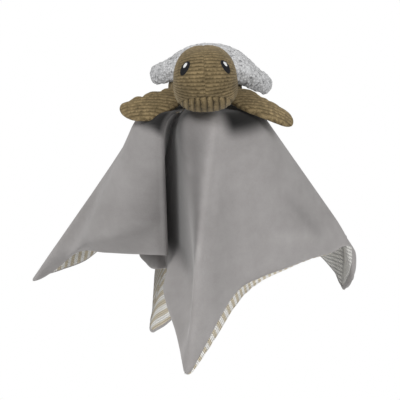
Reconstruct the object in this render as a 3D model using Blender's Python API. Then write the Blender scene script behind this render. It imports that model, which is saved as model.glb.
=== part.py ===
import math

import bpy
import bmesh
import numpy as np
from mathutils import Matrix, Vector

for old in list(bpy.data.objects):
    bpy.data.objects.remove(old, do_unlink=True)

# Sewn seams leave this much air between two pieces that touch in the real toy.
GAP = 0.0003

# Blanket: two square panels, sewn round the hem and turned.
BLANKET_SIDE = 0.370
CORNER_RADIUS = 0.014
KNIT_THICKNESS = 0.0007
VELOUR_THICKNESS = 0.0010
FLAT_RADIUS = 0.014
FLAT_LIMIT = 0.044
SHOULDER_LENGTH = 0.030
HEM_LENGTH = 0.052
HEM_BEND = 0.026

# Head: a squared egg that swells towards the nose and the jaw and hangs over the front edge.
HEAD_SIDE = 0.0248
HEAD_CROWN = 0.0251
HEAD_REACH = 0.0296
HEAD_SWELL_SHARE = 0.12
HEAD_JAW_SHARE = 0.08
HEAD_POWER = 2.6
HEAD_AHEAD = 0.0160
HEAD_HEIGHT = 0.0322
HEAD_DROOP = math.radians(16)
HEAD_ROLL = math.radians(-3)
MOUTH_DROP = 0.0225
MOUTH_SLOPE = math.radians(40)
CLOTH_FABRIC = 0.0012

# Eyes: padded black ovals with a small white oval on each.
EYE_LENGTH = 0.0126
EYE_WIDTH = 0.0071
EYE_PAD = 0.0007
GLINT_LENGTH = 0.0044
GLINT_WIDTH = 0.0027
EYE_SIDE = 0.0163
EYE_AHEAD = 0.0169
EYE_ABOVE = 0.0163
EYE_TURN = math.radians(66)
GLINT_OUT = 0.0005
GLINT_UP = 0.0021

# Body: the flat stuffed bag that carries head, shell and flippers.
BODY_HALF_WIDTH = 0.0310
BODY_HALF_LENGTH = 0.0400
BODY_HALF_DEPTH = 0.0108
BODY_BACK = 0.0150

# Shell: stuffed dome with a puffed rim.
SHELL_HALF_WIDTH = 0.0510
SHELL_HALF_LENGTH = 0.0520
SHELL_RIM_HEIGHT = 0.0146
SHELL_LAP = 0.0010
SHELL_RIGHT = 0.0050
SHELL_RISE = 0.0290
SHELL_FRONT_LIFT = 0.0205
SHELL_TILT = math.radians(5.2)

# Flippers: stuffed paddles sewn to the front corners of the body.
FLIPPER_LENGTH = 0.0480
FLIPPER_CHORD = 0.0300
FLIPPER_DEPTH = 0.0095
FLIPPER_SIDE = 0.0240
FLIPPER_FORWARD = 0.0140
FLIPPER_HEIGHT = 0.0115
LEFT_FLIPPER_DROOP = 0.0075
RIGHT_FLIPPER_DROOP = 0.0165
LEFT_FLIPPER_LEAN = math.radians(32)
RIGHT_FLIPPER_LEAN = math.radians(22)
FLIPPER_SWEEP = math.radians(12)
FLIPPER_FALL = math.radians(6)
FLIPPER_LIFT = math.radians(36)

# Neck seam: the head tilts to either side about its own line from neck to nose.
NECK_BACK = 0.0240
NECK_ROOM = 0.0009
HEAD_TILT = math.radians(25)

# Columns: cloth angle, angle at which that line of cloth falls, share of FLAT_LIMIT that lies
# flat, then how far a unit length of the fall leans right and forward, above and at the hem.
# Angles are in degrees from the front corner, towards the viewer's left.
FOLD_SHARES = (
    # Front corner and the front panel, down to the mouth of the deep pleat.
    (0, -7, 0.82, -0.10, 0.08, -0.10, 0.08),
    (8, 1, 0.82, -0.13, -0.08, -0.13, -0.08),
    (15, 8, 0.73, -0.17, -0.34, -0.17, -0.34),
    (21, 13, 0.61, -0.13, -0.49, -0.13, -0.49),
    (27, 17, 0.45, -0.09, -0.52, -0.09, -0.52),
    (34, 21, 0.36, -0.10, -0.52, -0.10, -0.52),
    # Back wall of the pleat, then the sharp ridge left of it.
    (41, 26, 0.25, -0.18, -0.43, -0.18, -0.43),
    (48, 31, 0.39, -0.20, -0.41, -0.20, -0.41),
    (54, 37, 0.61, -0.10, -0.42, -0.10, -0.42),
    (60, 43, 0.95, 0.05, -0.41, 0.05, -0.36),
    # Left panel, whose hem rolls forward, out to the left corner.
    (67, 50, 1.00, -0.06, -0.37, -0.06, -0.60),
    (75, 59, 1.00, -0.23, -0.32, -0.20, -0.80),
    (82, 69, 1.00, -0.33, -0.35, -0.32, -0.80),
    (90, 96, 0.68, -0.50, -0.33, -0.50, -0.33),
    # Back left panel, gathered in pleats.
    (98, 119, 0.34, -0.50, -0.33, -0.50, -0.33),
    (105, 127, 0.34, -0.45, -0.33, -0.45, -0.33),
    (112, 133, 0.32, -0.41, -0.38, -0.41, -0.38),
    (120, 138, 0.32, -0.35, -0.44, -0.35, -0.44),
    (127, 143, 0.32, -0.31, -0.34, -0.31, -0.34),
    (135, 148, 0.32, -0.26, -0.28, -0.26, -0.28),
    (150, 158, 0.30, -0.20, -0.31, -0.20, -0.31),
    (162, 167, 0.30, -0.20, -0.29, -0.20, -0.29),
    # Back corner.
    (171, 173, 0.30, -0.22, -0.25, -0.22, -0.25),
    (180, 180, 0.30, -0.20, -0.20, -0.20, -0.20),
    # Back right panel, gathered in pleats.
    (190, 188, 0.32, -0.11, -0.19, -0.11, -0.19),
    (204, 199, 0.32, 0.00, -0.38, 0.00, -0.38),
    (218, 212, 0.32, 0.09, -0.21, 0.09, -0.21),
    (232, 226, 0.36, 0.18, -0.40, 0.18, -0.40),
    (244, 240, 0.45, 0.30, -0.26, 0.30, -0.26),
    (254, 249, 0.45, 0.38, -0.40, 0.38, -0.40),
    # Right corner, whose flap hangs straight down.
    (262, 257, 0.45, 0.47, -0.39, 0.10, -0.20),
    (270, 266, 0.59, 0.46, -0.40, 0.14, -0.10),
    (277, 273, 0.66, 0.48, -0.44, 0.36, -0.10),
    # Broad front right panel.
    (285, 281, 0.73, 0.44, -0.40, 0.44, -0.40),
    (293, 289, 0.80, 0.39, -0.31, 0.39, -0.31),
    (302, 298, 0.82, 0.32, -0.24, 0.32, -0.24),
    (315, 310, 0.82, 0.20, -0.14, 0.20, -0.14),
    (330, 325, 0.82, 0.09, -0.12, 0.09, -0.12),
    (345, 341, 0.82, 0.02, -0.09, 0.02, -0.09),
    (353, 348, 0.82, -0.04, 0.03, -0.04, 0.03),
)

# Shell section from crown to rim to underside: share of the half width, share of the rise.
SHELL_SECTION_SHARES = (
    (0.26, 0.97),
    (0.50, 0.79),
    (0.70, 0.515),
    (0.84, 0.315),
    (0.94, 0.215),
    (1.00, 0.07),
    (0.985, -0.12),
    (0.91, -0.24),
    (0.80, -0.08),
    (0.68, 0.16),
    (0.55, 0.265),
    (0.30, 0.30),
)

# Flipper outlines as seen on the flat paddle, root first: share of length out, share of chord up.
LEFT_FLIPPER_SHARES = (
    (-0.14, 0.08),
    (-0.10, 0.22),
    (0.11, 0.30),
    (0.21, 0.22),
    (0.38, 0.29),
    (0.50, 0.24),
    (0.58, 0.16),
    (0.67, 0.25),
    (0.81, 0.16),
    (0.92, 0.16),
    (0.96, 0.01),
    (0.93, -0.22),
    (0.82, -0.47),
    (0.65, -0.64),
    (0.49, -0.69),
    (0.31, -0.60),
    (0.06, -0.44),
    (-0.14, -0.16),
)
RIGHT_FLIPPER_SHARES = (
    (-0.14, 0.08),
    (-0.10, 0.24),
    (0.15, 0.36),
    (0.29, 0.32),
    (0.43, 0.21),
    (0.54, 0.22),
    (0.62, 0.15),
    (0.71, 0.22),
    (0.82, 0.17),
    (0.95, 0.19),
    (1.02, 0.06),
    (1.02, -0.16),
    (0.93, -0.35),
    (0.80, -0.45),
    (0.65, -0.51),
    (0.46, -0.55),
    (0.20, -0.52),
    (-0.14, -0.20),
)

ROUND_STEPS = 18
HEAD_RINGS = 10
BODY_RINGS = 8
FLIPPER_RINGS = 6
FLIPPER_STRIPS = 5
EYE_STEPS = 14
CLOTH_SPREAD = 7.5
RIDGE_ANGLES = (60, 90, 270)
RIDGE_SPREAD = 2.5


def fabric(name, colour, roughness):
    material = bpy.data.materials.new(name)
    material.use_nodes = True
    shader = material.node_tree.nodes["Principled BSDF"]
    shader.inputs["Base Color"].default_value = (*colour, 1.0)
    shader.inputs["Roughness"].default_value = roughness
    shader.inputs["Metallic"].default_value = 0.0
    return material


def add_object(name, points, faces, material):
    mesh = bpy.data.meshes.new(name)
    mesh.from_pydata([tuple(map(float, point)) for point in points], [], faces)
    mesh.update()
    mesh.shade_smooth()
    item = bpy.data.objects.new(name, mesh)
    bpy.context.collection.objects.link(item)
    if material:
        mesh.materials.append(material)
    return item


def closed_faces(rings, steps, first=0):
    """Faces of a closed form: start pole, rings, end pole, counted from index first."""
    start = first
    end = first + 1 + rings * steps
    faces = []
    for i in range(steps):
        j = (i + 1) % steps
        faces.append((start, first + 1 + i, first + 1 + j))
        for k in range(rings - 1):
            a = first + 1 + k * steps
            b = a + steps
            faces.append((a + i, b + i, b + j, a + j))
        last = first + 1 + (rings - 1) * steps
        faces.append((end, last + j, last + i))
    return faces


def outward(item):
    """Turn every face of a closed object outwards."""
    work = bmesh.new()
    work.from_mesh(item.data)
    bmesh.ops.recalc_face_normals(work, faces=work.faces)
    work.to_mesh(item.data)
    work.free()
    return item


def solid(name, form, inset, material):
    points, rings, steps = form(inset)
    return outward(add_object(name, points, closed_faces(rings, steps), material))


def cover(name, form, material):
    """A hollow skin of CLOTH_FABRIC thickness over the form."""
    outer, rings, steps = form(0)
    inner = form(CLOTH_FABRIC)[0]
    faces = closed_faces(rings, steps) + closed_faces(rings, steps, len(outer))
    item = outward(add_object(name, np.concatenate([outer, inner]), faces, material))
    work = bmesh.new()
    work.from_mesh(item.data)
    lining = [face for face in work.faces if face.verts[0].index >= len(outer)]
    bmesh.ops.reverse_faces(work, faces=lining)
    work.to_mesh(item.data)
    work.free()
    return item


def boolean(item, tool, operation):
    """Cut or keep by another closed object, then remove that object."""
    tool.hide_render = True
    tool.display_type = "WIRE"
    cut = item.modifiers.new("cut", "BOOLEAN")
    cut.operation = operation
    cut.solver = "EXACT"
    cut.object = tool
    view = bpy.context.evaluated_depsgraph_get()
    mesh = bpy.data.meshes.new_from_object(item.evaluated_get(view), depsgraph=view)
    item.modifiers.clear()
    item.data = mesh
    work = bmesh.new()
    work.from_mesh(mesh)
    bmesh.ops.remove_doubles(work, verts=work.verts, dist=GAP / 30)
    bmesh.ops.dissolve_degenerate(work, dist=GAP / 30, edges=work.edges)
    work.to_mesh(mesh)
    work.free()
    mesh.shade_smooth()
    bpy.data.objects.remove(tool, do_unlink=True)
    return item


def half_space(point, normal, size):
    """A block that fills the side of a plane that the normal points to."""
    turn = Vector(normal).normalized().to_track_quat("Z", "Y").to_matrix().to_4x4()
    place = Matrix.Translation(Vector(point)) @ turn
    corners = [(x, y, z) for z in (0, 1) for y in (-1, 1) for x in (-1, 1)]
    points = [place @ (Vector(corner) * size) for corner in corners]
    faces = [(0, 2, 3, 1), (4, 5, 7, 6), (0, 1, 5, 4), (2, 6, 7, 3), (0, 4, 6, 2), (1, 3, 7, 5)]
    return outward(add_object("tool", points, faces, None))


def keep(item, point, normal, size):
    """Keep what lies on the normal's side of a plane, half a seam gap away from it."""
    way = Vector(normal).normalized()
    return boolean(item, half_space(Vector(point) + way * GAP / 2, way, size), "INTERSECT")


def copy_of(item, name):
    twin = bpy.data.objects.new(name, item.data.copy())
    bpy.context.collection.objects.link(twin)
    return twin


# Cloth surface

def around(angle, column):
    """Smooth value of a fold column at any cloth angle in degrees."""
    table = np.array(FOLD_SHARES)
    knots = table[:, 0]
    values = table[:, column].copy()
    if column == 1:
        values = values - knots
    x = np.concatenate([knots[-2:] - 360, knots, knots[:2] + 360])
    y = np.concatenate([values[-2:], values, values[:2]])
    width = np.diff(x)
    slope = np.diff(y) / width
    bend = np.zeros(len(x))
    bend[1:-1] = (slope[:-1] * width[1:] + slope[1:] * width[:-1]) / (width[:-1] + width[1:])
    angle = np.mod(angle, 360.0)
    i = np.clip(np.searchsorted(x, angle, side="right") - 1, 1, len(x) - 3)
    t = (angle - x[i]) / width[i]
    return (
        (2 * t**3 - 3 * t**2 + 1) * y[i]
        + (t**3 - 2 * t**2 + t) * width[i] * bend[i]
        + (3 * t**2 - 2 * t**3) * y[i + 1]
        + (t**3 - t**2) * width[i] * bend[i + 1]
    )


def ease(x):
    x = np.clip(x, 0, 1)
    return x * x * (3 - 2 * x)


def hem_distance(angle):
    """Distance from the middle of the flat blanket to its hem, corners rounded."""
    off = np.radians(np.abs((angle + 45) % 90 - 45))
    straight = BLANKET_SIDE / 2 / np.cos(math.pi / 4 - off)
    centre = (BLANKET_SIDE / 2 - CORNER_RADIUS) * math.sqrt(2)
    inside = np.maximum(CORNER_RADIUS**2 - (centre * np.sin(off)) ** 2, 0)
    arc = centre * np.cos(off) + np.sqrt(inside)
    leg = CORNER_RADIUS / math.sqrt(2)
    return np.where(off < math.atan2(leg, centre + leg), arc, straight)


def cloth_points(angle, shares, steps=200):
    """Draped cloth: lines of true length run out flat, bend over and fall along the folds."""
    reach = hem_distance(angle)
    fall = np.radians(angle + around(angle, 1))
    flat = around(angle, 2) * FLAT_LIMIT
    start = np.stack([-np.sin(fall), np.cos(fall)], -1)
    upper = np.stack([around(angle, 3), around(angle, 4)], -1)
    lower = np.stack([around(angle, 5), around(angle, 6)], -1)
    run = np.linspace(0, 1, steps + 1)[None, :] * reach[:, None]
    middle = (run[:, 1:] + run[:, :-1]) / 2
    over = ease((middle - flat[:, None]) / SHOULDER_LENGTH)[..., None]
    hem = ease((middle - reach[:, None] + HEM_LENGTH) / HEM_BEND)[..., None]
    lean = (1 - over) * start[:, None] + over * ((1 - hem) * upper[:, None] + hem * lower[:, None])
    size = np.maximum(np.linalg.norm(lean, axis=-1, keepdims=True), 1)
    lean = lean / size
    drop = np.sqrt(np.maximum(1 - (lean**2).sum(-1), 0))
    step = np.diff(run, axis=1)
    path = np.zeros((len(angle), steps + 1, 3))
    path[:, 1:, 0] = np.cumsum(lean[..., 0] * step, axis=1)
    path[:, 1:, 1] = -np.cumsum(lean[..., 1] * step, axis=1)
    path[:, 1:, 2] = -np.cumsum(drop * step, axis=1)
    wanted = (FLAT_RADIUS + shares[None, :] * (reach[:, None] - FLAT_RADIUS)) / reach[:, None]
    wanted = np.clip(wanted, 0, 1) * steps
    low = np.minimum(wanted.astype(int), steps - 1)
    part = (wanted - low)[..., None]
    row = np.arange(len(angle))[:, None]
    return path[row, low] * (1 - part) + path[row, low + 1] * part


def cloth_panel(name, side, thickness, material):
    """One panel of the blanket, on the upper (1) or lower (-1) side of the middle surface."""
    folds = np.array(FOLD_SHARES)[:, 0]
    spread = np.diff(np.append(folds, 360.0))
    wide = spread > CLOTH_SPREAD
    ridges = np.array(RIDGE_ANGLES)
    extra = [folds, (folds + spread / 2)[wide], ridges - RIDGE_SPREAD, ridges + RIDGE_SPREAD]
    angle = np.sort(np.concatenate(extra))
    lines = len(angle)
    shares = np.array([-0.5 * FLAT_RADIUS / (BLANKET_SIDE / 2), 0, 0.12, 0.24, 0.38, 0.54, 0.70, 0.85, 1.0])
    rings = cloth_points(angle, shares).transpose(1, 0, 2)
    middle = KNIT_THICKNESS + GAP / 2
    points = np.concatenate([np.zeros((1, 3)), rings.reshape(-1, 3)]) + (0, 0, middle)
    faces = []
    for i in range(lines):
        j = (i + 1) % lines
        faces.append((0, 1 + j, 1 + i))
        for k in range(len(shares) - 1):
            a = 1 + k * lines
            b = a + lines
            faces.append((a + j, b + j, b + i))
            faces.append((a + j, b + i, a + i))
    panel = add_object(name, points, faces, material)
    work = bmesh.new()
    work.from_mesh(panel.data)
    work.normal_update()
    shifts = [vertex.normal * side * GAP / 2 for vertex in work.verts]
    for vertex, shift in zip(work.verts, shifts):
        vertex.co += shift
    work.to_mesh(panel.data)
    work.free()
    thick = panel.modifiers.new("thickness", "SOLIDIFY")
    thick.thickness = thickness
    thick.offset = side
    thick.use_even_offset = False
    view = bpy.context.evaluated_depsgraph_get()
    mesh = bpy.data.meshes.new_from_object(panel.evaluated_get(view), depsgraph=view)
    panel.modifiers.clear()
    panel.data = mesh
    return outward(panel)


velour_grey = fabric("velour_grey", (0.335, 0.318, 0.314), 0.95)
knit_stripe = fabric("knit_stripe", (0.70, 0.66, 0.58), 0.95)
blanket_top = KNIT_THICKNESS + GAP + VELOUR_THICKNESS
cloth_panel("blanket_velour_panel", 1, VELOUR_THICKNESS, velour_grey)
cloth_panel("blanket_knit_panel", -1, KNIT_THICKNESS, knit_stripe)

# Stuffed forms

corduroy = fabric("corduroy_olive", (0.150, 0.112, 0.055), 0.95)
boucle = fabric("boucle_grey", (0.46, 0.46, 0.46), 0.95)
fibre = fabric("fibrefill_white", (0.85, 0.85, 0.83), 0.95)


def ring_angles(rings):
    return (np.arange(rings) + 0.5) / rings * math.pi


def pad_points(inset, outline, bulge, rings):
    """Lens on a flat outline: bulge is its half depth."""
    tilt = ring_angles(rings)
    radius = np.sin(tilt)[:, None, None]
    depth = np.cos(tilt)[:, None] * (bulge - inset) * np.ones(len(outline))[None]
    centre = outline.mean(axis=0)
    arm = outline - centre
    length = np.linalg.norm(arm, axis=1, keepdims=True)
    arm = arm * (1 - inset / length)
    flat = centre + radius * arm[None]
    return centre, flat, depth


body_base = blanket_top + GAP
body_middle = Vector((0, BODY_BACK, body_base + BODY_HALF_DEPTH))


def body_form(inset):
    """Flat bag, a little squared, longer from front to back."""
    tilt = ring_angles(BODY_RINGS)
    turn = np.arange(ROUND_STEPS) * 2 * math.pi / ROUND_STEPS
    power = 0.85
    radius = np.sin(tilt) ** power
    x = radius[:, None] * np.sin(turn) * (BODY_HALF_WIDTH - inset)
    y = radius[:, None] * np.cos(turn) * (BODY_HALF_LENGTH - inset)
    z = (np.cos(tilt) * (BODY_HALF_DEPTH - inset))[:, None] * np.ones(ROUND_STEPS)
    rings = np.stack([x, y, z], -1).reshape(-1, 3)
    pole = np.array([[0, 0, BODY_HALF_DEPTH - inset]])
    return np.concatenate([pole, rings, -pole]) + np.array(body_middle), BODY_RINGS, ROUND_STEPS


# The head's middle lies ahead of the body's front end, and the shell begins where the head ends.
head_y = BODY_BACK - BODY_HALF_LENGTH - HEAD_AHEAD
shell_y = head_y + HEAD_REACH - SHELL_LAP + SHELL_HALF_LENGTH
shell_middle = Vector((SHELL_RIGHT, shell_y, SHELL_RIM_HEIGHT))
shell_turn = Matrix.Rotation(SHELL_TILT, 3, "Y")


def shell_form(inset):
    """Dome with a puffed rim, narrowing towards the tail."""
    section = np.array(SHELL_SECTION_SHARES)
    turn = np.arange(ROUND_STEPS) * 2 * math.pi / ROUND_STEPS
    radius = section[:, 0]
    height = section[:, 1] * SHELL_RISE
    edge = np.gradient(np.concatenate([[0], radius, [0]]))[1:-1] * SHELL_HALF_WIDTH
    climb = np.gradient(np.concatenate([[SHELL_RISE], height, [SHELL_RISE / 3]]))[1:-1]
    size = np.hypot(edge, climb)
    radius = radius + inset * climb / size / SHELL_HALF_WIDTH
    height = height - inset * edge / size
    taper = 1 - 0.10 * np.maximum(np.cos(turn), 0) ** 2
    x = radius[:, None] * np.sin(turn) * taper * SHELL_HALF_WIDTH
    y = radius[:, None] * np.cos(turn) * SHELL_HALF_LENGTH
    front = np.maximum(-np.cos(turn), 0) ** 2 * SHELL_FRONT_LIFT
    z = height[:, None] + radius[:, None] ** 2 * front
    rings = np.stack([x, y, z], -1).reshape(-1, 3)
    top = np.array([[0, 0, SHELL_RISE - inset]])
    bottom = np.array([[0, 0, SHELL_RISE * section[-1, 1] + inset]])
    points = np.concatenate([top, rings, bottom]) @ np.array(shell_turn).T
    return points + np.array(shell_middle), len(section), ROUND_STEPS


head_middle = Vector((0, head_y, HEAD_HEIGHT))
head_turn = Matrix.Rotation(HEAD_ROLL, 3, "Y") @ Matrix.Rotation(HEAD_DROOP, 3, "X")
neck = head_middle + head_turn @ Vector((0, NECK_BACK, 0))


def head_radius(axial):
    """Egg section radius share at an axial share from -1 at the neck to 1 at the nose."""
    return np.sqrt(np.maximum(1 - axial**2, 0)) * (1 + HEAD_SWELL_SHARE * axial)


def head_form(inset):
    """Egg along its own -Y axis, nose forward, each section a squared oval, wider below."""
    axial = np.cos(ring_angles(HEAD_RINGS))
    turn = np.arange(ROUND_STEPS) * 2 * math.pi / ROUND_STEPS + math.pi / ROUND_STEPS
    power = np.abs(np.sin(turn)) ** HEAD_POWER + np.abs(np.cos(turn)) ** HEAD_POWER
    radius = head_radius(axial)[:, None] * power ** (-1 / HEAD_POWER)
    height = radius * np.cos(turn)
    x = radius * np.sin(turn) * (1 - HEAD_JAW_SHARE * height) * (HEAD_SIDE - inset)
    z = height * (HEAD_CROWN - inset)
    y = -axial[:, None] * (HEAD_REACH - inset) * np.ones(ROUND_STEPS)
    rings = np.stack([x, y, z], -1).reshape(-1, 3)
    pole = np.array([[0, -(HEAD_REACH - inset), 0]])
    points = np.concatenate([pole, rings, -pole]) @ np.array(head_turn).T
    return points + np.array(head_middle), HEAD_RINGS, ROUND_STEPS


def flipper_outline(shares, steps):
    """Even points along the hand-chosen outline, in metres on the flat paddle."""
    points = np.array(shares) * (FLIPPER_LENGTH, FLIPPER_CHORD)
    closed = np.concatenate([points, points[:1]])
    gaps = np.linalg.norm(np.diff(closed, axis=0), axis=1)
    run = np.concatenate([[0], np.cumsum(gaps)])
    at = np.linspace(0, run[-1], steps, endpoint=False)
    return np.stack([np.interp(at, run, closed[:, 0]), np.interp(at, run, closed[:, 1])], -1)


def flipper_form(shares):
    """Flat paddle, before it droops and is set in place."""
    outline = flipper_outline(shares, ROUND_STEPS)

    def form(inset):
        centre, flat, depth = pad_points(inset, outline, FLIPPER_DEPTH / 2, FLIPPER_RINGS)
        rings = np.concatenate([flat, depth[..., None]], -1).reshape(-1, 3)
        top = np.array([[*centre, FLIPPER_DEPTH / 2 - inset]])
        bottom = top * (1, 1, -1)
        return np.concatenate([top, rings, bottom]), FLIPPER_RINGS, ROUND_STEPS

    return form


def droop_and_place(item, place, droop):
    """Bend the flat paddle down in straight strips, then set it in place."""
    work = bmesh.new()
    work.from_mesh(item.data)
    strips = np.linspace(0, 1, FLIPPER_STRIPS + 1)
    for share in strips[:-1]:
        parts = work.verts[:] + work.edges[:] + work.faces[:]
        at = (share * FLIPPER_LENGTH, 0, 0)
        bmesh.ops.bisect_plane(work, geom=parts, dist=GAP / 30, plane_co=at, plane_no=(1, 0, 0))
    for vertex in work.verts:
        out = vertex.co.x / FLIPPER_LENGTH
        vertex.co.z -= droop * float(np.interp(out, strips, strips**2))
        vertex.co = place @ vertex.co
    work.to_mesh(item.data)
    work.free()
    return outward(item)


def flipper_place(side, lean):
    """Frame at the shoulder: X out along the paddle, Y up its chord, Z out of its face."""
    out = Vector((side * math.cos(FLIPPER_SWEEP), -math.sin(FLIPPER_SWEEP), -math.tan(FLIPPER_FALL)))
    out.normalize()
    chord = Vector((0, math.cos(lean), math.sin(lean)))
    chord = (chord - out * chord.dot(out)).normalized()
    face = out.cross(chord) * side
    turn = Matrix((out, chord, face)).transposed().to_4x4()
    root = Vector((side * FLIPPER_SIDE, -FLIPPER_FORWARD, FLIPPER_HEIGHT))
    return Matrix.Translation(root) @ turn


def seam_cut(item, middle, axis):
    """Shape a flipper to the body at rest, fully lifted and twice in between."""
    for share in (0, 1 / 3, 2 / 3, 1):
        tool = solid("tool", body_form, -GAP, None)
        turn = Matrix.Rotation(-FLIPPER_LIFT * share, 4, axis)
        tool.data.transform(Matrix.Translation(middle) @ turn @ Matrix.Translation(-middle))
        boolean(item, tool, "DIFFERENCE")
    return item


def set_origin(item, middle):
    item.data.transform(Matrix.Translation(-Vector(middle)))
    item.location = middle
    return item


# Body: belly and back panel, seam at its widest line, hollowed in front so that the head can tilt.

body_cover = cover("body_back_panel", body_form, corduroy)
belly = copy_of(body_cover, "body_belly_panel")
keep(body_cover, body_middle, (0, 0, 1), BLANKET_SIDE)
keep(belly, body_middle, (0, 0, -1), BLANKET_SIDE)
body_core = solid("body_stuffing", body_form, CLOTH_FABRIC + GAP, fibre)
for piece in (body_cover, belly, body_core):
    for share in (-1, -0.5, 0, 0.5, 1):
        tool = solid("tool", head_form, -NECK_ROOM, None)
        tilt = Matrix.Rotation(HEAD_TILT * share, 4, head_turn @ Vector((0, 1, 0)))
        tool.data.transform(Matrix.Translation(neck) @ tilt @ Matrix.Translation(-neck))
        boolean(piece, tool, "DIFFERENCE")

# Shell: upper and lower panel, seam round the rim.

rim_normal = shell_turn @ Vector((0, 0, 1))
shell_cover = cover("shell_top_panel", shell_form, boucle)
shell_under = copy_of(shell_cover, "shell_underside_panel")
keep(shell_cover, shell_middle, rim_normal, BLANKET_SIDE)
keep(shell_under, shell_middle, -rim_normal, BLANKET_SIDE)
solid("shell_stuffing", shell_form, CLOTH_FABRIC + GAP, fibre)

# Head: two crown panels meet on the seam from neck to nose, a chin panel closes them below.

side_way = head_turn @ Vector((1, 0, 0))
mouth_point = head_middle - Vector((0, 0, MOUTH_DROP))
mouth_way = head_turn @ Matrix.Rotation(-MOUTH_SLOPE, 3, "X") @ Vector((0, 0, 1))
head_cover = cover("head_right_panel", head_form, corduroy)
chin = copy_of(head_cover, "head_chin_panel")
keep(chin, mouth_point, -mouth_way, BLANKET_SIDE)
keep(head_cover, mouth_point, mouth_way, BLANKET_SIDE)
head_left = copy_of(head_cover, "head_left_panel")
keep(head_cover, head_middle, side_way, BLANKET_SIDE)
keep(head_left, head_middle, -side_way, BLANKET_SIDE)
head_core = solid("head_stuffing", head_form, CLOTH_FABRIC + GAP, fibre)
for piece in (head_cover, chin, head_left, head_core):
    set_origin(piece, neck)


def on_head(point, lift):
    """Move a point in head axes along its ray onto the egg, then lift it off by a distance."""
    way = point.normalized()
    low = 0.0
    high = 2 * HEAD_REACH
    for _ in range(40):
        middle = (low + high) / 2
        trial = way * middle
        axial = max(-1.0, min(1.0, -trial.y / HEAD_REACH))
        height = trial.z / HEAD_CROWN
        side_share = trial.x / HEAD_SIDE / (1 - HEAD_JAW_SHARE * height)
        across = (abs(side_share) ** HEAD_POWER + abs(height) ** HEAD_POWER) ** (1 / HEAD_POWER)
        if across > float(head_radius(np.array(axial))) or middle > HEAD_REACH * 1.2:
            high = middle
        else:
            low = middle
    return way * (low + lift)


def oval(name, side, inward, upward, length, width, low, pad, material):
    """Padded oval that follows the head, its upper end leaning to the middle."""
    centre = Vector((side * EYE_SIDE, -EYE_AHEAD, EYE_ABOVE))
    face = centre.normalized()
    along = (Vector((0, 1, 0)) - face * face.y).normalized()
    across = along.cross(face) * side
    if across.x * side > 0:
        across = -across
    lean_up = along * math.cos(EYE_TURN) + across * math.sin(EYE_TURN)
    lean_in = across * math.cos(EYE_TURN) - along * math.sin(EYE_TURN)
    centre = centre + lean_up * upward + lean_in * inward
    steps = EYE_STEPS
    points = []
    for share, height in ((0, 1), (0.55, 0.86), (0.92, 0.45), (1, 0.2), (0.96, 0), (0.5, 0), (0, 0)):
        for i in range(steps if share else 1):
            turn = 2 * math.pi * i / steps
            up = lean_up * math.cos(turn) * length / 2 * share
            out = lean_in * math.sin(turn) * width / 2 * share
            points.append(on_head(centre + up + out, low + pad * height))
    placed = [head_turn @ point + head_middle for point in points]
    item = outward(add_object(name, placed, closed_faces(5, steps), material))
    return set_origin(item, neck)


thread_black = fabric("thread_black", (0.012, 0.012, 0.013), 0.6)
thread_white = fabric("thread_white", (0.80, 0.80, 0.80), 0.6)
for side, word in ((-1, "left"), (1, "right")):
    oval(word + "_eye", side, 0, 0, EYE_LENGTH, EYE_WIDTH, GAP, EYE_PAD, thread_black)
    glint_low = GAP + EYE_PAD + GAP
    glint = (-GLINT_OUT, GLINT_UP, GLINT_LENGTH, GLINT_WIDTH, glint_low, EYE_PAD / 2)
    oval(word + "_eye_glint", side, *glint, thread_white)

# Flippers: front and back panel round a stuffed paddle, sewn on at the shoulder.

for side, word, shares, lean, droop in (
    (-1, "left", LEFT_FLIPPER_SHARES, LEFT_FLIPPER_LEAN, LEFT_FLIPPER_DROOP),
    (1, "right", RIGHT_FLIPPER_SHARES, RIGHT_FLIPPER_LEAN, RIGHT_FLIPPER_DROOP),
):
    place = flipper_place(side, lean)
    form = flipper_form(shares)
    root = place.translation
    lift_axis = place.to_3x3().col[1].normalized() * -side
    front = cover(word + "_flipper_front_panel", form, corduroy)
    back = copy_of(front, word + "_flipper_back_panel")
    core = solid(word + "_flipper_stuffing", form, CLOTH_FABRIC + GAP, fibre)
    keep(front, (0, 0, 0), (0, 0, 1), BLANKET_SIDE)
    keep(back, (0, 0, 0), (0, 0, -1), BLANKET_SIDE)
    for piece in (front, back, core):
        seam_cut(droop_and_place(piece, place, droop), root, lift_axis)
    for piece in (front, back, core):
        set_origin(piece, root)
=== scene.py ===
import math

import bpy
import numpy as np
from mathutils import Matrix, Vector


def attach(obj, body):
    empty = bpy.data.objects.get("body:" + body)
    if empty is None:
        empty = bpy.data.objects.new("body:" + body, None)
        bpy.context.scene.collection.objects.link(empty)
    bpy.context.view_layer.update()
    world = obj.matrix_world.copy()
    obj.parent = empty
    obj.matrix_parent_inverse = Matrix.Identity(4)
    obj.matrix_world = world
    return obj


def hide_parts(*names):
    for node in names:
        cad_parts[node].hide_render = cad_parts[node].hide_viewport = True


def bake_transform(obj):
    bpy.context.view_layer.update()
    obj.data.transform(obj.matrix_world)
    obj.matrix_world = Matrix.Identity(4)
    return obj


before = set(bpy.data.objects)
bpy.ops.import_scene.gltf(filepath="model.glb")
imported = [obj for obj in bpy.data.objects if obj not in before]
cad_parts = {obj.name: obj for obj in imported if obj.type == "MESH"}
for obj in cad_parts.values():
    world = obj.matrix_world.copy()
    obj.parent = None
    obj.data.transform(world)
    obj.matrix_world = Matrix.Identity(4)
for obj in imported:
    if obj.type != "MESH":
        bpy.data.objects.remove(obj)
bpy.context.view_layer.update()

# Camera: a long lens at the front, a little above the turtle, looking slightly down.
# It stands on the line from which the head hides the neck and the front corner hangs lowest.

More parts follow.
